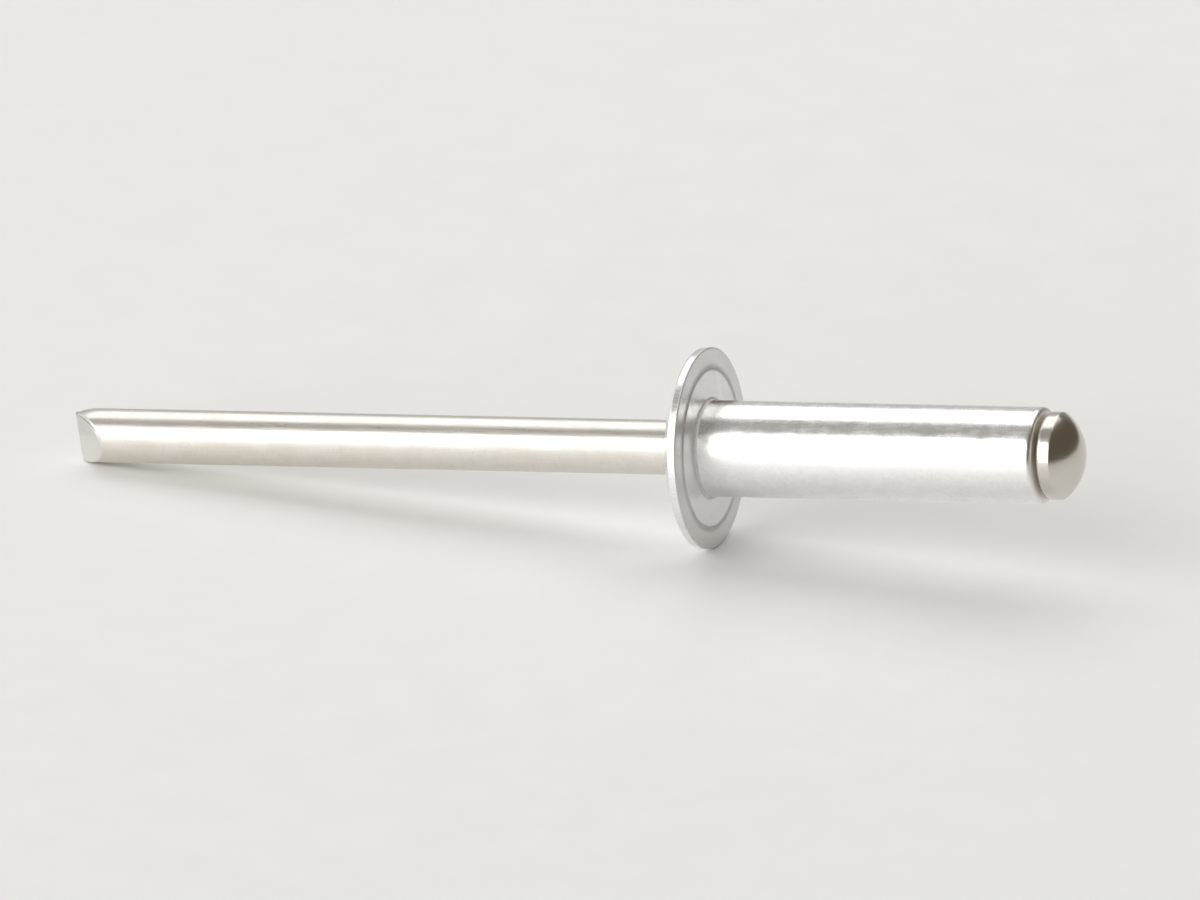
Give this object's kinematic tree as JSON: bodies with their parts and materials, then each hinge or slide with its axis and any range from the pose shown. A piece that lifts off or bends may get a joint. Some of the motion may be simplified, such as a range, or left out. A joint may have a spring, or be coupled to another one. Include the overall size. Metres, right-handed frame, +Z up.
{
  "type": "blind rivet",
  "caption": "Open-end blind rivet, unset: tubular aluminium body with a low domed head, on a steel mandrel with a domed head and a cropped tail.",
  "frame": {"origin": "on the rivet's axis, at the centre of the bearing face under the domed head", "axes": "+Z up from the surface that the rivet lies on; +X level, above the rivet's axis as seen from the top, towards the blind end and the mandrel's head; the axis itself rises 6.2 degrees from the tail to the mandrel's head"},
  "size_m": [0.0444, 0.0084, 0.0083],
  "materials": {
    "aluminium": "bright cold-headed aluminium, lightly tumbled",
    "plated_steel": "bright drawn steel wire with a thin, slightly warm zinc plating"
  },
  "bodies": {
    "root": {"rivet_body": "aluminium", "mandrel": "plated_steel"}
  },
  "joints": []
}
